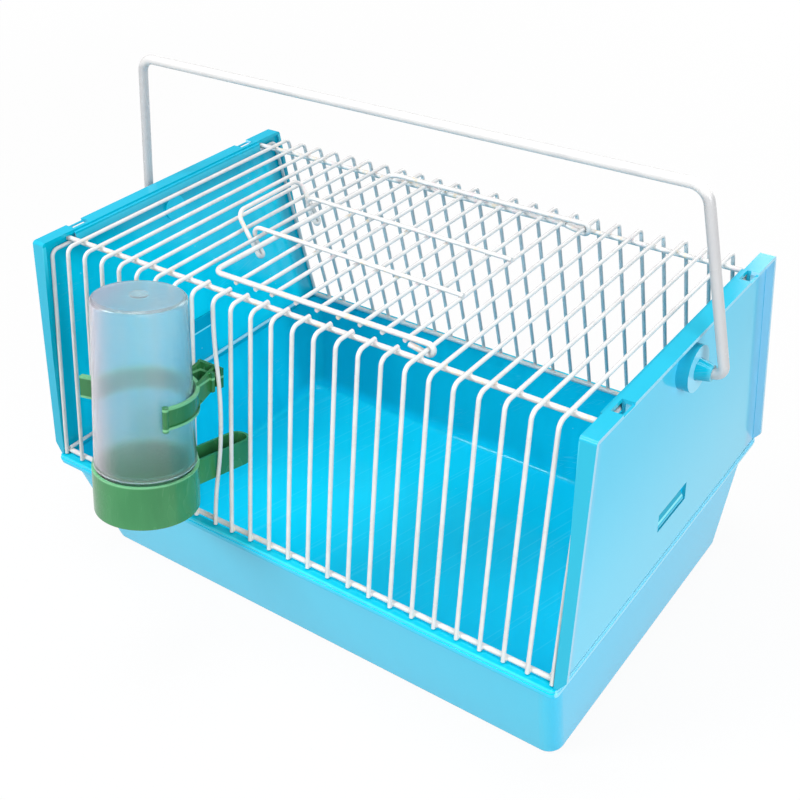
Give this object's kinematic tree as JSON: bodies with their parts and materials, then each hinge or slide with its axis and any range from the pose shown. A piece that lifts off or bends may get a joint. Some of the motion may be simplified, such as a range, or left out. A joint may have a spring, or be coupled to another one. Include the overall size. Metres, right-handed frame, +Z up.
{
  "type": "bird carrier",
  "caption": "Portable wire cage for a small bird on a deep plastic tray, with plastic end panels, a folding carry handle, a latched roof door and a clip-on drinker.",
  "frame": {"origin": "middle of the tray's flat foot, on the surface that the carrier stands on", "axes": "+X along the length to the end with the visible panel, +Y to the back, +Z up"},
  "size_m": [0.3438, 0.2595, 0.2504],
  "materials": {
    "blue_plastic": "glossy injection-moulded sky-blue plastic",
    "coated_wire": "steel wire in a glossy white coating",
    "green_plastic": "glossy moulded leaf-green plastic",
    "frosted_plastic": "frosted see-through plastic"
  },
  "bodies": {
    "tray": {"base_tray": "blue_plastic", "tray_catch_left": "blue_plastic", "tray_catch_right": "blue_plastic"},
    "cage": {"end_panel_left": "blue_plastic", "end_panel_right": "blue_plastic", "handle_bush_left": "blue_plastic", "handle_bush_right": "blue_plastic", "left_hoops": "coated_wire", "right_hoops": "coated_wire", "end_hoop_left": "coated_wire", "end_hoop_right": "coated_wire", "front_door_stubs": "coated_wire", "back_door_stubs": "coated_wire", "roof_rod_front": "coated_wire", "roof_rod_back": "coated_wire", "sill_rod_front": "coated_wire", "sill_rod_back": "coated_wire", "end_rods": "coated_wire", "drinker_cup": "green_plastic", "drinker_clip": "green_plastic"},
    "handle": {"carry_handle": "coated_wire"},
    "door": {"door_frame": "coated_wire", "door_bars": "coated_wire", "latch_legs": "coated_wire"},
    "latch": {"latch_loop": "coated_wire"},
    "drinker": {"drinker_tube": "frosted_plastic"}
  },
  "joints": [
    {"name": "cage_lift", "type": "slide", "parent": "tray", "child": "cage", "axis": [0, 0, 1], "range_m": [0, 0.06], "deforming": ["tray_catch_left", "tray_catch_right"]},
    {"name": "handle_swing", "type": "hinge", "parent": "cage", "child": "handle", "pos_m": [0, 0, 0.16635], "axis": [1, 0, 0], "range_deg": [-70, 70]},
    {"name": "door_hinge", "type": "hinge", "parent": "cage", "child": "door", "pos_m": [0.066, 0, 0.18], "axis": [0, 1, 0], "range_deg": [0, 19], "deforming": ["latch_loop"]},
    {"name": "latch_flex", "type": "hinge", "parent": "door", "child": "latch", "pos_m": [-0.06085, -0.003, 0.18496], "axis": [0, 1, 0], "range_deg": [0, 20], "stiffness_Nm_per_rad": 0.05},
    {"name": "tube_lift", "type": "slide", "parent": "cage", "child": "drinker", "axis": [0, 0.1867, 0.9824], "range_m": [0, 0.023]}
  ]
}
